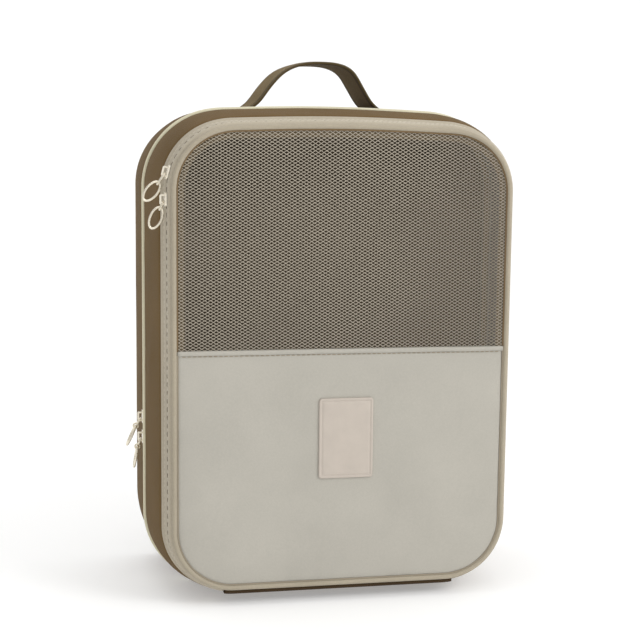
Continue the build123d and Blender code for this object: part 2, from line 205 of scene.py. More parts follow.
def new_piece(name, verts, faces, uvs=None, material=None, smooth=True):
    mesh = bpy.data.meshes.new(name)
    mesh.from_pydata([tuple(v) for v in verts], [], [tuple(f) for f in faces])
    mesh.update()
    if uvs is not None:
        layer = mesh.uv_layers.new(name="cloth")
        index = np.zeros(len(mesh.loops), int)
        mesh.loops.foreach_get("vertex_index", index)
        layer.data.foreach_set("uv", np.asarray(uvs, float)[index].ravel())
    mesh.polygons.foreach_set("use_smooth", [smooth] * len(mesh.polygons))
    if material is not None:
        mesh.materials.append(material)
    return add_object(name, mesh)


def apply_modifiers(piece):
    graph = bpy.context.evaluated_depsgraph_get()
    graph.update()
    mesh = bpy.data.meshes.new_from_object(piece.evaluated_get(graph))
    old = piece.data
    piece.modifiers.clear()
    piece.data = mesh
    bpy.data.meshes.remove(old)
    return piece


def solidify(piece, thickness):
    mod = piece.modifiers.new("thick", "SOLIDIFY")
    mod.thickness = thickness
    mod.offset = -1.0
    mod.use_quality_normals = True
    return apply_modifiers(piece)


def recalc(piece):
    """Turns all the faces outward."""
    bm = bmesh.new()
    bm.from_mesh(piece.data)
    bmesh.ops.recalc_face_normals(bm, faces=bm.faces)
    bm.to_mesh(piece.data)
    bm.free()
    return piece


def join(name, pieces, material):
    """Several meshes as one piece."""
    verts, faces = [], []
    for vs, fs in pieces:
        base = len(verts)
        verts.extend(vs)
        faces.extend([tuple(i + base for i in f) for f in fs])
    return new_piece(name, verts, faces, material=material)


def grid_faces(rows, cols, close_rows=False, close_cols=False):
    faces = []
    for i in range(rows if close_rows else rows - 1):
        for j in range(cols if close_cols else cols - 1):
            a = i * cols + j
            b = i * cols + (j + 1) % cols
            c = ((i + 1) % rows) * cols + (j + 1) % cols
            d = ((i + 1) % rows) * cols + j
            faces.append((a, b, c, d))
    return faces


def end_caps(count, rows):
    """The two end faces of a tube of count rings, each of rows points."""
    return [tuple(range(rows)), tuple(range((count - 1) * rows, count * rows))[::-1]]


def band(name, section, material, s0=None, s1=None, step=2.5 * MM, ref=None, wave=None):
    """A closed-section band that runs along the loop from s0 to s1, or all the way
    round. section is a closed list of (outset, depth). wave(s, k) moves point k of the
    section outward."""
    section = np.array(section)
    ref = section[:, 0].max() if ref is None else ref
    whole = s0 is None
    if whole:
        s0, s1 = 0.0, loop_length(ref)
    count = max(8, int((s1 - s0) / step))
    s = np.linspace(s0, s1, count, endpoint=not whole)
    rows = len(section)
    grid = np.zeros((count, rows, 3))
    uv = np.zeros((count, rows, 2))
    run = run_lengths(section)
    for k, (outset, depth) in enumerate(section):
        push = wave(s, k) if wave is not None else 0.0
        grid[:, k] = place(s, np.full(count, outset) + push, depth, ref)
        uv[:, k] = np.stack([s, np.full(count, run[k])], 1)
    faces = grid_faces(count, rows, close_rows=whole, close_cols=True)
    if not whole:
        faces += end_caps(count, rows)
    piece = new_piece(name, grid.reshape(-1, 3), faces, uv.reshape(-1, 2), material)
    return recalc(piece)


def wall_section(start, end, bow, thick, count=14, edge=0.0):
    """A bowed wall's closed section, its outer face first. edge rounds the outer face
    down at both ends, as where it turns into a seam."""
    t = np.linspace(0, 1, count)
    outset = start[0] + (end[0] - start[0]) * t + bow * 4 * t * (1 - t)
    outset -= edge * (np.exp(-t * (end[1] - start[1]) / (1.3 * MM)))
    outset -= edge * (np.exp(-(1 - t) * (end[1] - start[1]) / (1.3 * MM)))
    depth = start[1] + (end[1] - start[1]) * t
    outer = np.stack([outset, depth], 1)
    inner = outer[::-1] - [thick, 0]
    return np.concatenate([outer, inner])


def cord_ring(name, outset, depth, radius, material, sides=12):
    """A round cord all the way round the loop."""
    angle = np.linspace(0, 2 * math.pi, sides, endpoint=False)
    section = np.stack([outset + radius * np.cos(angle), depth + radius * np.sin(angle)], 1)
    return band(name, section, material, step=3 * MM, ref=outset)


def capsule(length, radius, sides=6):
    """A stitch along X: a thread bump sunk at both ends."""
    verts, faces = [], []
    xs = np.array([-0.5, -0.38, 0.0, 0.38, 0.5]) * length
    rs = np.array([0.35, 0.85, 1.0, 0.85, 0.35]) * radius
    for x, r in zip(xs, rs):
        for k in range(sides):
            a = 2 * math.pi * k / sides
            verts.append((x, r * math.cos(a), r * math.sin(a)))
    for i in range(len(xs) - 1):
        for k in range(sides):
            a, b = i * sides + k, i * sides + (k + 1) % sides
            faces.append((a, b, b + sides, a + sides))
    faces.append(tuple(range(sides))[::-1])
    faces.append(tuple(range((len(xs) - 1) * sides, len(xs) * sides)))
    return np.array(verts), faces


def stitches(name, points, material, length=2.6 * MM, gap=1.0 * MM, radius=0.28 * MM, closed=False):
    """A row of stitches along a polyline."""
    points = np.asarray(points, float)
    if closed:
        points = np.concatenate([points, points[:1]])
    run = run_lengths(points)
    count = int(run[-1] / (length + gap))
    pitch = run[-1] / count
    shape, shape_faces = capsule(length, radius)
    made = []
    for k in range(count):
        mid = (k + 0.5) * pitch
        a = np.array([np.interp(mid - 0.4 * length, run, points[:, i]) for i in range(3)])
        b = np.array([np.interp(mid + 0.4 * length, run, points[:, i]) for i in range(3)])
        x = (b - a) / np.linalg.norm(b - a)
        side = np.cross(x, (0.31, 0.95, 0.05))
        side /= np.linalg.norm(side)
        up = np.cross(side, x)
        made.append((shape @ np.stack([x, side, up]) + (a + b) / 2, shape_faces))
    return join(name, made, material)


def merge(name, pieces):
    """Joins finished pieces, keeping their UV maps."""
    for piece in bpy.context.selected_objects:
        piece.select_set(False)
    for piece in pieces:
        piece.select_set(True)
    bpy.context.view_layer.objects.active = pieces[0]
    bpy.ops.object.join()
    pieces[0].name = name
    return pieces[0]


def stand_for(piece, slot, *nodes):
    """Hides the CAD nodes in whose place a piece stands. piece and slot are not used."""
    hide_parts(*nodes)


# ---------------- materials
def nodes_of(name):
    material = bpy.data.materials.new(name)
    material.use_nodes = True
    tree = material.node_tree
    tree.nodes.clear()
    out = tree.nodes.new("ShaderNodeOutputMaterial")
    shader = tree.nodes.new("ShaderNodeBsdfPrincipled")
    tree.links.new(shader.outputs[0], out.inputs[0])
    return material, tree, shader


def set_inputs(node, values):
    for name, value in values.items():
        node.inputs[name].default_value = value


def math_node(tree, kind, a, b=None):
    node = tree.nodes.new("ShaderNodeMath")
    node.operation = kind
    for socket, value in zip(node.inputs, (a, b)):
        if value is None:
            continue
        if isinstance(value, (int, float)):
            socket.default_value = value
        else:
            tree.links.new(value, socket)
    return node.outputs[0]


def noise_node(tree, scale, detail=3.0, vector=None, roughness=0.55):
    node = tree.nodes.new("ShaderNodeTexNoise")
    set_inputs(node, {"Scale": scale, "Detail": detail, "Roughness": roughness})
    if vector is None:
        vector = tree.nodes.new("ShaderNodeTexCoord").outputs["Object"]
    tree.links.new(vector, node.inputs["Vector"])
    return node.outputs["Fac"]


def mix_colour(tree, factor, a, b):
    node = tree.nodes.new("ShaderNodeMix")
    node.data_type = "RGBA"
    tree.links.new(factor, node.inputs["Factor"])
    node.inputs[6].default_value = (*a, 1)
    node.inputs[7].default_value = (*b, 1)
    return node.outputs[2]


def linear(rgb):
    """sRGB 0-255 to linear."""
    c = np.array(rgb, float) / 255
    return tuple(np.where(c <= 0.04045, c / 12.92, ((c + 0.055) / 1.055) ** 2.4))


def scaled(colour, k):
    return tuple(min(1.0, c * k) for c in colour)


def tint(tree, shader, factor, rgb, low, high):
    """Colours a shader from low to high times rgb, as factor goes from 0 to 1."""
    colour = linear(rgb)
    mixed = mix_colour(tree, factor, scaled(colour, low), scaled(colour, high))
    tree.links.new(mixed, shader.inputs["Base Color"])


def add_bump(tree, shader, height, strength, distance):
    bump = tree.nodes.new("ShaderNodeBump")
    set_inputs(bump, {"Strength": strength, "Distance": distance})
    tree.links.new(height, bump.inputs["Height"])
    tree.links.new(bump.outputs[0], shader.inputs["Normal"])


def cloth_material(name, rgb, pitch, contrast=0.16, mottle=0.10, height=0.12, rough=0.88,
                   sheen=0.15, rib=None, edge_shade_width=None):
    """Woven cloth. pitch is the thread spacing in metres, on the piece's own UV map.
    rib="u" or "v" gives ribs instead of a plain weave. edge_shade_width is a webbing's width,
    whose two edges are darkened as painted shade."""
    material, tree, shader = nodes_of(name)
    uv = tree.nodes.new("ShaderNodeUVMap")
    uv.uv_map = "cloth"
    split = tree.nodes.new("ShaderNodeSeparateXYZ")
    tree.links.new(uv.outputs[0], split.inputs[0])
    turn = 2 * math.pi / pitch
    across = math_node(tree, "SINE", math_node(tree, "MULTIPLY", split.outputs[0], turn))
    along = math_node(tree, "SINE", math_node(tree, "MULTIPLY", split.outputs[1], turn))
    if rib == "u":
        weave = across
    elif rib == "v":
        weave = along
    else:
        weave = math_node(tree, "MULTIPLY", across, along)
    fine = noise_node(tree, 1.0 / (1.3 * MM), 4.0)
    broad = noise_node(tree, 22.0, 3.0)
    weave_part = math_node(tree, "MULTIPLY", weave, contrast * 0.5)
    fine_part = math_node(tree, "MULTIPLY", math_node(tree, "SUBTRACT", fine, 0.5), contrast * 1.6)
    broad_part = math_node(tree, "MULTIPLY", math_node(tree, "SUBTRACT", broad, 0.5), mottle * 4)
    total = math_node(tree, "ADD", math_node(tree, "ADD", weave_part, fine_part), broad_part)
    # Painted shade: darker strips along the webbing's two edges.
    if edge_shade_width:
        off = math_node(tree, "ABSOLUTE", math_node(tree, "SUBTRACT", split.outputs[1], edge_shade_width / 2))
        edge = math_node(tree, "GREATER_THAN", off, edge_shade_width / 2 - 4.0 * MM)
        total = math_node(tree, "SUBTRACT", total, math_node(tree, "MULTIPLY", edge, 0.6))
    tint(tree, shader, math_node(tree, "ADD", total, 0.5), rgb, 0.5, 1.5)
    rise = math_node(tree, "ADD", weave, math_node(tree, "MULTIPLY", fine, 1.2))
    add_bump(tree, shader, rise, 0.6, height * MM)
    set_inputs(shader, {"Roughness": rough, "Specular IOR Level": 0.25})
    set_inputs(shader, {"Sheen Weight": sheen, "Sheen Roughness": 0.5})
    return material


def metal_material(name, rgb):
    material, tree, shader = nodes_of(name)
    fine = noise_node(tree, 900.0, 3.0)
    broad = noise_node(tree, 120.0, 2.0)
    tint(tree, shader, broad, rgb, 0.93, 1.05)
    shader.inputs["Metallic"].default_value = 1.0
    rough = math_node(tree, "ADD", math_node(tree, "MULTIPLY", fine, 0.16), 0.20)
    tree.links.new(rough, shader.inputs["Roughness"])
    add_bump(tree, shader, fine, 0.15, 0.02 * MM)
    return material


def leather_material(name, rgb):
    material, tree, shader = nodes_of(name)
    grain = tree.nodes.new("ShaderNodeTexVoronoi")
    grain.inputs["Scale"].default_value = 1500.0
    coords = tree.nodes.new("ShaderNodeTexCoord").outputs["Object"]
    tree.links.new(coords, grain.inputs["Vector"])
    broad = noise_node(tree, 90.0, 4.0)
    tint(tree, shader, broad, rgb, 0.90, 1.10)
    add_bump(tree, shader, grain.outputs["Distance"], 0.25, 0.08 * MM)
    rough = math_node(tree, "ADD", math_node(tree, "MULTIPLY", broad, 0.2), 0.45)
    tree.links.new(rough, shader.inputs["Roughness"])
    shader.inputs["Specular IOR Level"].default_value = 0.4
    return material


def thread_material(name, rgb):
    return cloth_material(name, rgb, 0.3 * MM, contrast=0.1)


PANEL_CLOTH = cloth_material("panel_cloth", (176, 172, 162), 0.9 * MM, contrast=0.10, mottle=0.05)
GUSSET_CLOTH = cloth_material(
    "gusset_cloth", (101, 79, 44), 0.8 * MM, contrast=0.14, mottle=0.08, sheen=0.02
)
# Painted shade: the lid hinge's cloth is a darker copy of the gusset cloth, standing in for the shade on
# the strip under the lid's piping.
HINGE_PAINTED_SHADE_CLOTH = cloth_material(
    "hinge_cloth", (66, 50, 30), 0.8 * MM, contrast=0.14, mottle=0.08, sheen=0.02
)
PIPING_CLOTH = cloth_material("piping_cloth", (169, 159, 140), 0.7 * MM, contrast=0.14, mottle=0.06)
TAPE_CLOTH = cloth_material(
    "tape_cloth", (182, 172, 153), 0.6 * MM, contrast=0.16, mottle=0.05, rib="v"
)
NET_THREAD = cloth_material("net_thread", (184, 174, 157), 0.5 * MM, contrast=0.12, mottle=0.05)
LINING_CLOTH = cloth_material(
    "lining_cloth", (82, 71, 54), 0.5 * MM, contrast=0.08, mottle=0.06, rough=0.6
)
BINDING_CLOTH = cloth_material("binding_cloth", (112, 98, 76), 0.9 * MM, contrast=0.16, rib="u")
# The webbing's two edges carry painted shade.
WEBBING_CLOTH = cloth_material(
    "webbing_cloth", (114, 96, 62), 1.6 * MM, contrast=0.22, height=0.3, rib="v", sheen=0.04,
    edge_shade_width=STRAP_WIDTH,
)
COIL_PLASTIC = cloth_material(
    "coil_plastic", (96, 84, 64), 0.5 * MM, contrast=0.06, rough=0.45, sheen=0
)
LIGHT_THREAD = thread_material("light_thread", (206, 199, 184))
DARK_THREAD = thread_material("dark_thread", (104, 90, 68))
SLIT_THREAD = thread_material("slit_thread", (92, 80, 62))
HEM_THREAD = thread_material("hem_thread", (150, 138, 118))
SEAM_PALE = cloth_material("seam_pale_cloth", (150, 140, 122), 0.6 * MM, contrast=0.1)
SEAM_DARK = cloth_material("seam_shadow_cloth", (120, 100, 72), 0.6 * MM, contrast=0.1)
PULL_METAL = metal_material("pull_metal", (232, 224, 206))
PATCH_LEATHER = leather_material("patch_leather", (184, 174, 163))
EDGE_CLOTH = cloth_material("edge_piping_cloth", (230, 211, 183), 0.7 * MM, contrast=0.12, mottle=0.05)
REAR_TAPE_CLOTH = cloth_material(
    "rear_tape_cloth", (146, 133, 108), 0.6 * MM, contrast=0.16, mottle=0.05, rib="v"
)


# ---------------- flat panels
def border_distance(x, z, outset=0.0):
    """How far a point lies inside the rounded outline of an outset."""
    qx = np.abs(x) - CORNER_X
    qz = np.abs(z - MID_Z) - CORNER_Z
    outside = np.hypot(np.maximum(qx, 0), np.maximum(qz, 0))
    return RADIUS + outset - (outside + np.minimum(np.maximum(qx, qz), 0))


def half_width(z, outset):
    """Half the width of the rounded outline at height z."""
    over = np.maximum(np.abs(z - MID_Z) - CORNER_Z, 0)
    return CORNER_X + np.sqrt(np.maximum((RADIUS + outset) ** 2 - over**2, 0))


def panel_rows(z_low, z_high, outset, step):
    """Heights of grid rows, closer together in the rounded corners."""
    bottom, top = MID_Z - HALF_H - outset, MID_Z + HALF_H + outset
    angles = np.linspace(0, math.pi / 2, 14)[1:]
    bend = (RADIUS + outset) * np.sin(angles)
    rows = list(np.arange(MID_Z - CORNER_Z, MID_Z + CORNER_Z + step / 2, step))
    rows += list(MID_Z + CORNER_Z + bend) + list(MID_Z - CORNER_Z - bend)
    rows = sorted(z for z in rows if z_low + step / 4 < z < z_high - step / 4)
    low, high = max(z_low, bottom + 1e-5), min(z_high, top - 1e-5)
    return np.array([low] + [z for z in rows if low < z < high] + [high])


def panel_solid(name, z_low, z_high, outset, front, back, material, step=4 * MM):
    """A closed slab that follows the rounded outline. front and back give a depth for
    each (x, z, distance inside the border)."""
    rows = panel_rows(z_low, z_high, outset, step)
    cols = int(2 * (HALF_W + outset) / step)
    u = np.linspace(-1, 1, cols)
    rim = np.sign(u) * (1 - (1 - np.abs(u)) ** 1.25)
    z = np.repeat(rows, cols)
    x = np.concatenate([rim * half_width(r, outset) for r in rows])
    inside = np.maximum(border_distance(x, z, outset), 0)
    count = len(z)
    front_points = np.stack([x, FRONT + front(x, z, inside), z], 1)
    back_points = np.stack([x, FRONT + back(x, z, inside), z], 1)
    verts = np.concatenate([front_points, back_points])
    faces = grid_faces(len(rows), cols)
    faces += [tuple(i + count for i in f)[::-1] for f in faces]
    ring = list(range(cols)) + [r * cols + cols - 1 for r in range(1, len(rows))]
    ring += list(range((len(rows) - 1) * cols, len(rows) * cols - 1))[::-1]
    ring += [r * cols for r in range(1, len(rows) - 1)][::-1]
    for a, b in zip(ring, ring[1:] + ring[:1]):
        faces.append((b, a, a + count, b + count))
    uv = np.stack([np.tile(x, 2), np.tile(z, 2)], 1)
    piece = new_piece(name, verts, faces, uv, material)
    return recalc(piece)


PUFF = 1.6 * MM  # how proud the padded panel stands in its middle


def panel_face(x, z, inside):
    """Depth of the padded lower panel's front: proud in the middle, dipping into its
    seam, and pulled flat towards the hem."""
    full = (1 - np.exp(-inside / (22 * MM))) * (1 - np.exp(-np.maximum(HEM_Z - z, 0) / (26 * MM)))
    dip = 0.9 * MM * np.exp(-inside / (1.1 * MM))
    dip = dip + 0.45 * MM * np.exp(-(((HEM_Z - 3.7 * MM - z) / (0.8 * MM)) ** 2))
    ripple = 0.22 * MM * smooth_noise(x, z, 70 * MM, 3) * full
    pucker = 0.16 * MM * np.exp(-inside / (7 * MM)) * smooth_noise(x, z, 13 * MM, 5, 2)
    return -PUFF * full + dip + ripple + pucker


def at(value):
    """The same depth everywhere."""
    return lambda x, z, inside: np.full(np.shape(x), value)


def pad_back(thin, thick, edge):
    """Depth of a padded panel's back: thin at the seam, thick inside its binding."""
    return lambda x, z, inside: thin + (thick - thin) * np.clip((inside - edge) / (2 * MM), 0, 1)


def lining_sheet(name, node, front, back):
    """A flat lining in a node's place."""
    low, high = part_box(node)
    piece = panel_solid(name, low.z, high.z, high.x - HALF_W, front, back, LINING_CLOTH, step=6 * MM)
    stand_for(piece, "lining", node)
    return piece


# ---------------- the lid
NET_WIDE = 4.0 * MM
NET_HIGH = 2.3 * MM
NET_DEPTH = 0.25 * MM
NET_THICK = 0.42 * MM
NET_OPEN = 0.8  # a hole's size as a share of its cell


def netting():
    """Knitted netting: rows of staggered diamond holes, as real geometry."""
    half_wide, half_high = NET_WIDE / 2, NET_HIGH / 2
    outer = np.array([(1, 0), (0, 1), (-1, 0), (0, -1)]) * (half_wide, half_high)
    hole = outer * NET_OPEN
    centres = []
    rows = int((TOP - HEM_Z) / half_high) + 3
    cols = int(2 * HALF_W / NET_WIDE) + 3
    for j in range(rows):
        z = HEM_Z - 2 * MM + j * half_high
        for i in range(-cols // 2, cols // 2 + 1):
            centres.append((i * NET_WIDE + (j % 2) * half_wide, z))
    centres = np.array(centres)
    keep = border_distance(centres[:, 0], centres[:, 1], 1.2 * MM) > 0
    centres = centres[keep]
    n = len(centres)
    rim = (centres[:, None, :] + outer).reshape(-1, 2)
    keys, rim_index = np.unique(np.round(rim * 1e6).astype(int), axis=0, return_inverse=True)
    rim_index = rim_index.reshape(n, 4)
    rim_points = keys / 1e6
    holes = (centres[:, None, :] + hole).reshape(-1, 2)
    flat_points = np.concatenate([rim_points, holes])
    over = np.maximum(-border_distance(flat_points[:, 0], flat_points[:, 1], 0.9 * MM), 0)
    core_low, core_high = (-CORNER_X, MID_Z - CORNER_Z), (CORNER_X, MID_Z + CORNER_Z)
    away = flat_points - np.clip(flat_points, core_low, core_high)
    length = np.maximum(np.linalg.norm(away, axis=1), 1e-9)
    flat_points = flat_points - away * (over / length)[:, None]
    x, z = flat_points.T
    inside = np.maximum(border_distance(x, z), 0)
    depth = np.full(len(x), NET_DEPTH)
    depth[: len(rim_points)] -= 0.13 * MM
    depth += 0.35 * MM * smooth_noise(x, z, 90 * MM, 11) * (1 - np.exp(-inside / (20 * MM)))
    z = z + crown(x, z, 0.0)
    verts = np.stack([x, FRONT + depth, z], 1)
    start = len(rim_points)
    faces = []
    for c in range(n):
        for k in range(4):
            m = (k + 1) % 4
            faces.append((rim_index[c, k], rim_index[c, m], start + c * 4 + m, start + c * 4 + k))
    uv = np.stack([x, z], 1)
    piece = new_piece("window_netting", verts, faces, uv, NET_THREAD)
    return solidify(piece, NET_THICK)


def rounded_outline(width, height, radius, count=10):
    points = []
    for k, (sx, sz) in enumerate([(1, 1), (-1, 1), (-1, -1), (1, -1)]):
        for t in np.linspace(0, math.pi / 2, count):
            a = t + k * math.pi / 2
            cx, cz = sx * (width / 2 - radius), sz * (height / 2 - radius)
            points.append((cx + radius * math.cos(a), cz + radius * math.sin(a)))
    return np.array(points)


def patch():
    """A blank leather patch with a bevelled edge and a pressed line inside it."""
    low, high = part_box("leather_patch")
    centre = (low + high) / 2
    width, height = high.x - low.x, high.z - low.z
    thick = FRONT - low.y
    steps = [(0, -0.3), (0, 0.7), (0.12, 0.88), (0.45, 0.97), (1.6, 1.0), (1.85, 0.8)]
    steps += [(2.2, 0.78), (2.5, 0.94), (4.0, 0.97), (8.0, 0.98), (14.0, 1.0)]
    verts = []
    for inset, rise in steps:
        radius = max(2.2 - inset, 0.6) * MM
        outline = rounded_outline(width - 2 * inset * MM, height - 2 * inset * MM, radius)
        x, z = outline[:, 0] + centre.x, outline[:, 1] + centre.z
        face = panel_face(x, z, border_distance(x, z))
        verts.extend(np.stack([x, FRONT + face - rise * thick, z], 1))
    n = len(outline)
    faces = grid_faces(len(steps), n, close_cols=True)
    faces.append(tuple(range((len(steps) - 1) * n, len(steps) * n)))
    faces.append(tuple(range(n))[::-1])
    return recalc(new_piece("blank_patch", verts, faces, material=PATCH_LEATHER))


def hem():
    """The rolled, stitched edge along the top of the lower panel."""
    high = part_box("window_hem")[1]
    section = [(0.45, 0.1), (0.45, -3.2), (-0.1, -3.3), (-0.35, -3.0), (-0.62, -2.5), (-0.85, -1.7)]
    section += [(-0.9, -1.0), (-0.75, -0.4), (-0.4, 0.0), (0.0, 0.15)]
    count = 110
    verts = []
    for x in np.linspace(-HALF_W + 0.4 * MM, HALF_W - 0.4 * MM, count):
        wave = 0.15 * MM * smooth_noise(np.array(x), np.array(0.0), 40 * MM, 21)
        for depth, drop in section:
            z = high.z + drop * MM + wave
            verts.append((x, FRONT + depth * MM, z))
    rows = len(section)
    faces = grid_faces(count, rows, close_cols=True) + end_caps(count, rows)
    uv = [(v[0], v[2]) for v in verts]
    return recalc(new_piece("hem_roll", verts, faces, uv, PANEL_CLOTH)), high.z


def teeth(name, outset, near, far, s0, s1, offset, material, pitch=1.3 * MM, radius=0.42 * MM):
    """One side of a coil: short bars across the slit."""
    count = int((s1 - s0) / pitch)
    s = s0 + (np.arange(count) + offset) * pitch
    base, normal = loop_at(s, outset)
    depths = np.array([near, near + 0.15 * (far - near), far - 0.1 * (far - near), far])
    radii = np.array([0.6, 1.0, 1.0, 0.55]) * radius
    sides = 6
    made = []
    for k in range(count):
        n = normal[k]
        t = np.array([-n[1], n[0]])
        origin = base[k] + n * (RADIUS + outset)
        verts = []
        for depth, r in zip(depths, radii):
            for i in range(sides):
                a = 2 * math.pi * i / sides
                xz = origin + (n * math.cos(a) + t * math.sin(a)) * r
                verts.append((xz[0], FRONT + depth, max(xz[1] + MID_Z, FLOOR_GAP)))
        faces = grid_faces(4, sides, close_cols=True)
        faces.append(tuple(range(sides))[::-1])
        faces.append(tuple(range(3 * sides, 4 * sides)))
        made.append((verts, faces))
    return join(name, made, material)


def mm(points):
    return [(a * MM, b * MM) for a, b in points]


FRONT_ZIP_S0 = s_of_bottom(LID_HINGE_HALF + ZIP_END_GAP, ZIP_FACE)
FRONT_ZIP_S1 = loop_length(ZIP_FACE) - FRONT_ZIP_S0
COIL_OUT = ZIP_FACE - COIL_SINK
FACE = ZIP_FACE / MM
REAR_FACE = REAR_ZIP_FACE / MM


def front_zip_row(outset, depth):
    """Points along the front zip."""
    s = np.arange(FRONT_ZIP_S0, FRONT_ZIP_S1, 3 * MM)
    return place(s, np.full(len(s), outset), depth, outset)


def lid():
    lower = panel_solid("lower_panel_pad", BOTTOM, HEM_Z, -0.15 * MM, panel_face,
                        pad_back(1.1 * MM, 3.6 * MM, 6.9 * MM), PANEL_CLOTH, step=3 * MM)
    stand_for(lower, "panel_fabric", "lid_fabric_panel", "lid_foam")

    lining = lining_sheet("lid_lining_cloth", "lid_lining", at(3.75 * MM), at(4.35 * MM))
    net = netting()
    stand_for(net, "netting", "lid_mesh_window")

    fold, hem_top = hem()
    stand_for(fold, "panel_fabric", "window_hem")
    xs = np.linspace(-HALF_W + 3 * MM, HALF_W - 3 * MM, 60)
    row = [(x, FRONT - 0.25 * MM, hem_top - 3.7 * MM) for x in xs]
    hem_row = stitches("hem_stitches", row, HEM_THREAD)

    badge = patch()
    stand_for(badge, "patch_leather", "leather_patch")

    piping = cord_ring("lid_piping_cord", 1.95 * MM, 0.4 * MM, 1.8 * MM, PIPING_CLOTH, sides=14)
    stand_for(piping, "piping", "lid_piping")
    section = mm([(-0.9, -0.05), (-0.3, -0.35), (0.5, -0.05), (0.5, 0.9), (-0.9, 0.9)])
    edge = 0.5 * MM
    turn = s_of_right(HEM_Z, edge)
    seam = band("lid_seam_line", section, SEAM_DARK, turn, loop_length(edge) - turn, step=3 * MM,
                ref=edge)
    low_seam = band("panel_seam_line", section, SEAM_PALE, -turn, turn, step=3 * MM, ref=edge)

    outer = [(3.3, 2.55), (1.5, 3.3), (0.4, 4.4), (0, 5.0), (0, 5.3), (0.35, 5.6), (0.35, 6.1)]
    outer += [(0, 6.4), (0, 7.3), (0.15, 7.9), (0.5, 8.2)]
    inner = [(1.1, 8.1), (1.0, 7.4), (1.0, 5.8), (1.4, 5.1), (2.4, 4.2)]
    section = [(0.0, 2.35), (1.8, 2.35)] + [(FACE - a, b) for a, b in outer + inner]
    section += [(2.4, 3.3), (0.0, 3.3)]
    tape = band("lid_zip_tape", mm(section), TAPE_CLOTH, FRONT_ZIP_S0, FRONT_ZIP_S1, ref=ZIP_FACE)
    stand_for(tape, "zip_tape", "front_zip_lid_tape")
    groove = front_zip_row(ZIP_FACE - 0.1 * MM, 6.0 * MM)
    tape_row = stitches("lid_tape_stitches", groove, LIGHT_THREAD, length=2.4 * MM)
    coil = teeth("lid_zip_coil", COIL_OUT, 6.9 * MM, FRONT_SLIT - SLIT_GAP, FRONT_ZIP_S0,
                 FRONT_ZIP_S1, 0.25, COIL_PLASTIC)
    stand_for(coil, "zip_coil", "front_zip_lid_coil")
    section = [(-0.4, 1.3), (-0.4, 3.0), (-4.6, 3.0), (-5.2, 2.5), (-5.2, 1.6), (-4.8, 1.3)]
    binding = band("lid_seam_tape", mm(section), BINDING_CLOTH, step=4 * MM)
    stand_for(binding, "binding", "lid_seam_binding")
    for piece in (lower, lining, net, fold, hem_row, badge, piping, seam, low_seam, tape, tape_row,
                  coil, binding):
        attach(piece, "front_lid")


# ---------------- the front box
WALL_ROWS = 16  # points across a wall's outer face


def gusset_wave(seed, amount):
    """Soft unevenness for a gusset's outer face only."""

    def wave(s, k):
        if k >= WALL_ROWS or k in (0, WALL_ROWS - 1):
            return 0.0
        fade = math.sin(math.pi * k / (WALL_ROWS - 1)) ** 0.5
        return amount * fade * smooth_noise(s, np.full(len(s), k * 3.5 * MM), 75 * MM, seed)

    return wave


def padded_wall(side, start, end, bow, ref, wave):
    """A compartment's padded wall and its lining. start and end are the wall's front and
    back edges, as (outset, depth)."""
    section = wall_section(start, end, bow, WALL_THICK, WALL_ROWS, edge=SEAM_TURN)
    gusset = band(f"{side}_gusset_wall", section, GUSSET_CLOTH, ref=ref, wave=wave)
    stand_for(gusset, "gusset_fabric", f"{side}_gusset", f"{side}_gusset_foam")
    inner_start, inner_end = ((outset - LINING_INSET, depth) for outset, depth in (start, end))
    section = wall_section(inner_start, inner_end, bow, LINING_THICK, 8)
    lining = band(f"{side}_lining_wall", section, LINING_CLOTH, step=4 * MM)
    stand_for(lining, "lining", f"{side}_gusset_lining")
    return gusset, lining


def zip_rear_tape(name, start, end, edge_first, outset, s0, s1):
    """One of the rear zip's tapes, its rounded edge towards the slit."""
    o, t = outset / MM, 1.0
    a, b = start / MM, end / MM
    if edge_first:
        section = [(o - 0.45, a), (o - 0.12, a + 0.25), (o, a + 0.8), (o, b), (o - t, b), (o - t, a + 0.1)]
    else:
        section = [(o, a), (o, b - 0.8), (o - 0.12, b - 0.25), (o - 0.45, b), (o - t, b - 0.1), (o - t, a)]
    return band(name, mm(section), REAR_TAPE_CLOTH, s0, s1, ref=outset)


BOOK_S0 = s_of_right(BOOK_HIGH + ZIP_END_GAP, REAR_ZIP_FACE)
BOOK_S1 = s_of_right(BOOK_LOW - ZIP_END_GAP, REAR_ZIP_FACE) + loop_length(REAR_ZIP_FACE)


def end_tabs(name, section, spans, ref, material):
    """Short strips over the two ends of a zip, as one piece."""
    pieces = []
    for letter, (s0, s1) in zip("ab", spans):
        pieces.append(band(f"tab_{letter}", mm(section), material, s0, s1, ref=ref, step=1 * MM))
    return merge(name, pieces)


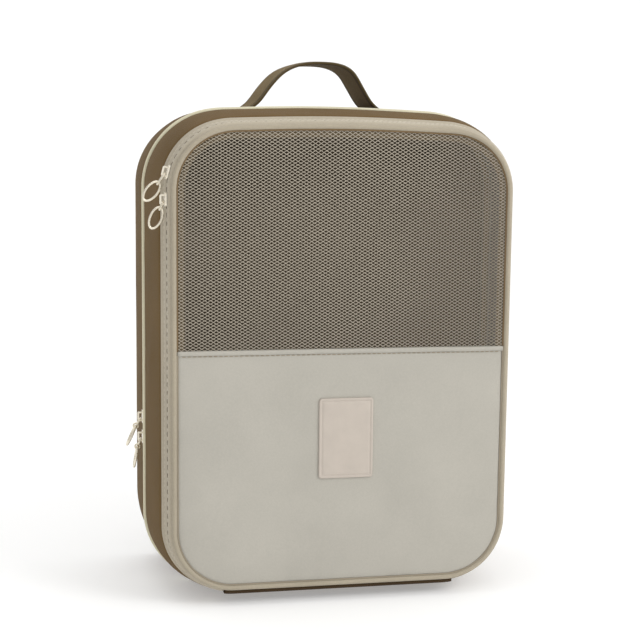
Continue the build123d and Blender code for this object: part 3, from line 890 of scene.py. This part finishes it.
def front_box():
    gusset, lining = padded_wall("front", (WALL_OUT, GUSSET_START), (SHELL_OUT, GUSSET_END),
                                 FRONT_BOW, 13 * MM, gusset_wave(31, 0.35 * MM))

    outer = [(-0.5, 9.8), (-0.15, 10.1), (0, 10.7), (0, 13.2), (-0.4, 13.6), (-0.4, 14.2), (0.1, 14.6)]
    outer += [(0.6, 15.8), (1.2, 17.0), (0.9, 17.4), (1.3, 17.9), (2.9, 18.8), (3.1, 19.6)]
    inner = [(1.8, 19.6), (0.6, 18.2), (-0.5, 16.0), (-1.0, 14.6), (-1.0, 10.6), (-1.1, 9.9)]
    section = mm([(FACE + a, b) for a, b in outer + inner])
    tape = band("box_zip_tape", section, TAPE_CLOTH, FRONT_ZIP_S0, FRONT_ZIP_S1, ref=ZIP_FACE)
    stand_for(tape, "zip_tape", "front_zip_box_tape")
    seam_row = stitches("box_tape_stitches", front_zip_row(ZIP_FACE + 1.0 * MM, 16.9 * MM),
                        LIGHT_THREAD, length=2.4 * MM)
    edge_row = stitches("box_slit_stitches", front_zip_row(ZIP_FACE - 0.3 * MM, 9.95 * MM),
                        SLIT_THREAD, length=3.4 * MM, gap=2.4 * MM, radius=0.5 * MM)
    coil = teeth("box_zip_coil", COIL_OUT, FRONT_SLIT + SLIT_GAP, 11.1 * MM, FRONT_ZIP_S0,
                 FRONT_ZIP_S1, 0.75, COIL_PLASTIC)
    stand_for(coil, "zip_coil", "front_zip_box_coil")

    piping = cord_ring("mid_piping_cord", 15.1 * MM, 71.1 * MM, 1.85 * MM, EDGE_CLOTH)
    stand_for(piping, "piping", "mid_piping")
    rear_tape = zip_rear_tape("rear_zip_front_cloth", 72.6 * MM, REAR_FRONT_TAPE_END, False,
                              REAR_ZIP_FACE, BOOK_S0, BOOK_S1)
    stand_for(rear_tape, "zip_tape", "rear_zip_front_tape")
    rear_coil = teeth("rear_zip_front_teeth", REAR_ZIP_FACE - COIL_SINK, 77.9 * MM,
                      REAR_SLIT - SLIT_GAP, BOOK_S0, BOOK_S1, 0.25, COIL_PLASTIC)
    stand_for(rear_coil, "zip_coil", "rear_zip_front_coil")

    low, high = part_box("divider_panel")
    front, back = depth_of(low.y), depth_of(high.y)

    def divider_front(x, z, inside):
        full = 1 - np.exp(-inside / (30 * MM))
        return front - 0.9 * MM * full * (1 + 0.5 * smooth_noise(x, z, 120 * MM, 41))

    divider = lining_sheet("divider_cloth", "divider_panel", divider_front, at(back))
    inner_edge = outset_of("divider_panel") / MM + 0.1
    section = [(13.0, 70.2), (13.0, 72.4), (inner_edge, 72.4), (inner_edge, 70.2)]
    wrap = band("divider_edge_tape", mm(section), BINDING_CLOTH, step=4 * MM)
    stand_for(wrap, "binding", "divider_binding")

    section = [(FACE + a, b) for a, b in ((0.15, 9.9), (0.9, 10.1), (1.0, 12.0), (0.9, 14.1), (0.15, 14.3))]
    left = loop_length(ZIP_FACE)
    near, far = FRONT_ZIP_S0, FRONT_ZIP_S0 + TAB_LENGTH
    tabs = end_tabs("front_zip_tabs", section, [(near, far), (left - far, left - near)], ZIP_FACE,
                    TAPE_CLOTH)
    stand_for(tabs, "zip_tape", "front_zip_end_tabs")
    section = [(15.2, 73.0), (15.9, 73.2), (16.0, 76.0), (15.9, 78.8), (15.2, 79.0)]
    upper = s_of_right(BOOK_HIGH, REAR_ZIP_FACE)
    lower = s_of_right(BOOK_LOW, REAR_ZIP_FACE)
    spans = [(upper, upper + TAB_LENGTH), (lower - TAB_LENGTH, lower)]
    rear_tabs = end_tabs("rear_zip_tabs", section, spans, REAR_ZIP_FACE, REAR_TAPE_CLOTH)
    stand_for(rear_tabs, "zip_tape", "rear_zip_end_tabs")
    for piece in (gusset, lining, tape, seam_row, edge_row, coil, piping, rear_tape, rear_coil,
                  divider, wrap, tabs, rear_tabs):
        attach(piece, "front_box")


# ---------------- the fabric hinges
def hinges():
    """Cloth across the two fabric hinges, each a fixed band between the bodies that it joins."""
    length = loop_length(ZIP_FACE)
    half = s_of_bottom(LID_HINGE_HALF - ZIP_END_GAP, ZIP_FACE)
    outer = [(0.2, 2.4), (3.0, 2.4), (5.4, 2.6), (6.9, 3.2), (7.5, 4.2), (7.6, 5.4), (7.5, 7.0), (7.4, 8.2)]
    outer += [(7.3, 10.0), (7.3, 13.0), (7.8, 16.5), (8.6, 19.6)]
    inner = [(a - 0.8, b + 0.5) for a, b in outer[:7]] + [(a - 1.0, b) for a, b in outer[7:]]
    # The lid hinge gets the darker cloth: painted shade for the strip under the lid's piping.
    cloth = band("lid_hinge_cloth", mm(outer + inner[::-1]), HINGE_PAINTED_SHADE_CLOTH, length - half, length + half,
                 ref=ZIP_FACE)
    stand_for(cloth, "gusset_fabric", "lid_hinge_flap", "box_hinge_flap")
    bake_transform(cloth)

    depths = np.concatenate([[72.6, 75.0, 77.0], np.linspace(78.2, 81.8, 9), [83.0, 85.0, 87.2]])
    outer = [(REAR_FACE, d) for d in depths]
    inner = [(REAR_FACE - 1.0, d) for d in depths[::-1]]
    s0 = s_of_right(BOOK_LOW + ZIP_END_GAP, REAR_ZIP_FACE)
    s1 = s_of_right(BOOK_HIGH - ZIP_END_GAP, REAR_ZIP_FACE)
    cloth = band("book_hinge_cloth", mm(outer + inner), GUSSET_CLOTH, s0, s1, ref=REAR_ZIP_FACE)
    stand_for(cloth, "gusset_fabric", "book_hinge_front_flap", "book_hinge_rear_flap")
    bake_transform(cloth)


# ---------------- the rear shell
def rear_shell():
    gusset, lining = padded_wall("rear", (SHELL_OUT, REAR_START), (BACK_OUT, REAR_END), REAR_BOW,
                                 15 * MM, gusset_wave(57, 0.4 * MM))

    tape = zip_rear_tape("rear_zip_rear_cloth", REAR_REAR_TAPE_START, 87.2 * MM, True, REAR_ZIP_FACE,
                         BOOK_S0, BOOK_S1)
    stand_for(tape, "zip_tape", "rear_zip_rear_tape")
    coil = teeth("rear_zip_rear_teeth", REAR_ZIP_FACE - COIL_SINK, REAR_SLIT + SLIT_GAP, 82.1 * MM,
                 BOOK_S0, BOOK_S1, 0.75, COIL_PLASTIC)
    stand_for(coil, "zip_coil", "rear_zip_rear_coil")
    piping = cord_ring("rear_piping_cord", 12.6 * MM, BACK - 1.1 * MM, 1.7 * MM, PIPING_CLOTH)
    stand_for(piping, "piping", "rear_piping")

    low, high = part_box("rear_panel")
    out = high.x - HALF_W

    def back_face(x, z, inside):
        full = 1 - np.exp(-inside / (26 * MM))
        dip = 0.9 * MM * np.exp(-inside / (1.1 * MM))
        return BACK + 1.8 * MM * full - dip + 0.35 * MM * full * smooth_noise(x, z, 90 * MM, 61)

    def back_inner(x, z, inside):
        return BACK - 1.1 * MM - 3.0 * MM * np.clip((inside - 7.6 * MM) / (2 * MM), 0, 1)

    panel = panel_solid("rear_panel_pad", low.z, high.z, out, back_inner, back_face, GUSSET_CLOTH,
                        step=4 * MM)
    stand_for(panel, "gusset_fabric", "rear_panel", "rear_panel_foam")
    near, far = (depth_of(corner.y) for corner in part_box("rear_panel_lining"))
    sheet = lining_sheet("rear_panel_lining_cloth", "rear_panel_lining", at(near), at(far))
    low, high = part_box("rear_seam_binding")
    near, far = depth_of(low.y) / MM, depth_of(high.y) / MM
    out = (high.x - HALF_W) / MM
    wrap = band("rear_seam_tape", mm([(out, near), (out, far), (out - 6.9, far), (out - 6.9, near)]),
                BINDING_CLOTH, step=4 * MM)
    stand_for(wrap, "binding", "rear_seam_binding")
    for piece in (gusset, lining, tape, coil, piping, panel, sheet, wrap):
        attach(piece, "rear_shell")


def strap():
    """The webbing handle: a flat ribbed strap whose ends are box-stitched to the top."""
    low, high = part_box("handle_strap")
    near, far = low.y, high.y
    span = high.x - STRAP_FOOT
    rise = high.z - low.z
    half = [(span + STRAP_FOOT, 0.0), (span + 0.5 * STRAP_FOOT, 0.2 * MM), (span, 1.8 * MM)]
    half += [(0.88 * span, 0.18 * rise), (0.71 * span, 0.53 * rise), (0.53 * span, 0.83 * rise)]
    half += [(0.28 * span, 0.965 * rise)]
    control = [(-x, z) for x, z in half] + [(0, 0.985 * rise)] + half[::-1]
    curve = bpy.data.curves.new("strap_path", "CURVE")
    curve.dimensions = "3D"
    curve.resolution_u = 6
    spline = curve.splines.new("NURBS")
    spline.points.add(len(control) - 1)
    for point, (x, z) in zip(spline.points, control):
        point.co = (x, 0, z, 1)
    spline.order_u = 3
    spline.use_endpoint_u = True
    holder = add_object("strap_path", curve)
    line = bpy.data.meshes.new_from_object(holder)
    path = np.array([v.co for v in line.vertices])[:, [0, 2]]
    bpy.data.objects.remove(holder)
    tangent = np.gradient(path, axis=0)
    tangent /= np.linalg.norm(tangent, axis=1)[:, None]
    normal = np.stack([-tangent[:, 1], tangent[:, 0]], 1)
    path[:, 1] += low.z
    high_part = np.clip((path[:, 1] - low.z) / (4 * MM), 0, 1)

    def strap_lean(across, z):
        """The soft strap leans to the left low down, and is slightly askew."""
        return (-2.2 + 4.2 * np.clip((z - low.z) / rise, 0, 1) ** 3 - 3.2 * (across - 0.5)) * MM

    path[:, 1] += crown(path[:, 0], np.full(len(path), low.z), depth_of((near + far) / 2))
    width = far - near
    rim = 0.55 * MM
    section = []
    for v in (0.0, 0.006, 0.03, 0.12, 0.5, 0.88, 0.97, 0.994, 1.0):
        round_off = rim * math.exp(-min(v, 1 - v) * width / (0.5 * MM))
        section.append((v * width, STRAP_THICK - round_off))
    section += [(a, STRAP_THICK - b) for a, b in reversed(section)]
    verts, uv = [], []
    run = run_lengths(path)
    for i in range(len(path)):
        cup = 0.5 * MM * high_part[i]
        for across, up in section:
            middle = 1 - (2 * across / width - 1) ** 2
            xz = path[i] + normal[i] * (up + cup * middle)
            verts.append((xz[0] + strap_lean(across / width, xz[1]), near + across, xz[1]))
            uv.append((run[i], across))
    rows = len(section)
    faces = grid_faces(len(path), rows, close_cols=True) + end_caps(len(path), rows)
    piece = recalc(new_piece("webbing_handle", verts, faces, uv, WEBBING_CLOTH))
    stand_for(piece, "webbing", "handle_strap")
    rows_of = []
    for side in (-1, 1):
        x0, x1 = side * (span + 0.55 * STRAP_FOOT), side * (span + 0.85 * STRAP_FOOT)
        y0, y1 = near + 2 * MM, far - 2 * MM
        z = low.z + STRAP_THICK + 0.15 * MM + crown(x1, low.z, depth_of((near + far) / 2))
        left, right = strap_lean(0.05, low.z), strap_lean(0.95, low.z)
        square = [(x0 + left, y0, z), (x1 + left, y0, z), (x1 + right, y1, z), (x0 + right, y1, z)]
        rows_of.append(stitches(f"strap_box_{side}", square, DARK_THREAD, closed=True))
    threads = merge("strap_stitches", rows_of)
    low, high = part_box("handle_reinforcement")
    outline = rounded_outline(high.x - low.x, high.y - low.y, 3 * MM, 6)
    n = len(outline)
    mid = (low + high) / 2
    verts = [(x + mid.x, y + mid.y, low.z) for x, y in outline]
    verts += [(x + mid.x, y + mid.y, high.z) for x, y in outline]
    faces = [tuple(range(n)), tuple(range(n, 2 * n))[::-1]]
    faces += [(k, (k + 1) % n, n + (k + 1) % n, n + k) for k in range(n)]
    uv = [(v[0], v[1]) for v in verts]
    backing = recalc(new_piece("handle_backing", verts, faces, uv, LINING_CLOTH, smooth=False))
    stand_for(backing, "lining", "handle_reinforcement")
    for part in (piece, threads, backing):
        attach(part, "rear_shell")


def pulls():
    """The metal pulls keep their CAD meshes and get a plated finish."""
    for node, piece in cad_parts.items():
        if node.split("_")[-1] in ("slider", "link", "ring"):
            piece.data.materials.clear()
            piece.data.materials.append(PULL_METAL)
            piece.data.polygons.foreach_set("use_smooth", [True] * len(piece.data.polygons))


lid()
front_box()
hinges()
rear_shell()
strap()
pulls()


# ---------------- stage, light, camera
FLOOR_REACH = 20.0
BACKDROP_START, BACKDROP_BEND, BACKDROP_TOP = 1.4, 1.2, 5.0


def area_light(name, size, power, position, target):
    light = bpy.data.lights.new(name, "AREA")
    light.shape = "DISK"
    light.size = size
    light.energy = power
    holder = add_object(name, light)
    holder.location = position
    holder.rotation_mode = "QUATERNION"
    holder.rotation_quaternion = (Vector(target) - Vector(position)).to_track_quat("-Z", "Y")


def stage():
    """A white floor that curves up behind into a wall, a pale sky darker on the left, and
    two soft lamps."""
    sweep = [(-FLOOR_REACH, 0.0), (BACKDROP_START, 0.0)]
    for t in np.linspace(0, math.pi / 2, 24)[1:]:
        y, z = BACKDROP_START + BACKDROP_BEND * math.sin(t), BACKDROP_BEND * (1 - math.cos(t))
        sweep.append((y, z))
    sweep.append((BACKDROP_START + BACKDROP_BEND, BACKDROP_TOP))
    verts = [(x, y, z) for y, z in sweep for x in (-FLOOR_REACH, FLOOR_REACH)]
    floor = new_piece("floor", verts, grid_faces(len(sweep), 2))
    material, tree, shader = nodes_of("pale_floor")
    set_inputs(shader, {"Base Color": (0.72, 0.72, 0.716, 1), "Roughness": 0.8})
    set_inputs(shader, {"Emission Color": (1, 1, 1, 1), "Emission Strength": 0.30})
    floor.data.materials.append(material)
    world = bpy.data.worlds.new("studio")
    bpy.context.scene.world = world
    world.use_nodes = True
    tree = world.node_tree
    split = tree.nodes.new("ShaderNodeSeparateXYZ")
    tree.links.new(tree.nodes.new("ShaderNodeTexCoord").outputs["Generated"], split.inputs[0])
    side = tree.nodes.new("ShaderNodeMapRange")
    side.interpolation_type = "SMOOTHSTEP"
    set_inputs(side, {"From Min": -0.9, "From Max": -0.1})
    tree.links.new(split.outputs[0], side.inputs["Value"])
    shade = mix_colour(tree, side.outputs[0], (0.52, 0.52, 0.52), (1.0, 1.0, 1.0))
    tree.links.new(shade, tree.nodes["Background"].inputs[0])
    tree.nodes["Background"].inputs[1].default_value = 1.0
    area_light("key", 0.9, 14, (1.2, -1.3, 1.3), (0, 0, 0.17))
    area_light("top", 1.2, 4, (-0.3, 0.1, 1.9), (0, 0, 0.17))


def camera():
    """Aimed at the middle of the front panel from its left and above."""
    yaw, pitch, roll = math.radians(13.1), math.radians(8.2), math.radians(0.78)
    distance = 1.051
    frame_size = 640
    centre = Vector((0, FRONT, MID_Z))
    forward = Vector((math.sin(yaw) * math.cos(pitch), math.cos(yaw) * math.cos(pitch), -math.sin(pitch)))
    lens = bpy.data.cameras.new("camera")
    lens.sensor_width = 36
    lens.lens = 84.4
    lens.shift_x = -24 / frame_size
    lens.shift_y = 41 / frame_size
    lens.clip_start = 0.05
    holder = add_object("camera", lens)
    holder.location = centre - forward * distance
    holder.rotation_mode = "QUATERNION"
    aim = forward.to_track_quat("-Z", "Y")
    tilt = Matrix.Rotation(roll, 3, "Z").to_quaternion()
    holder.rotation_quaternion = aim @ tilt
    bpy.context.scene.camera = holder


stage()
camera()
bpy.context.scene.view_settings.view_transform = "Standard"
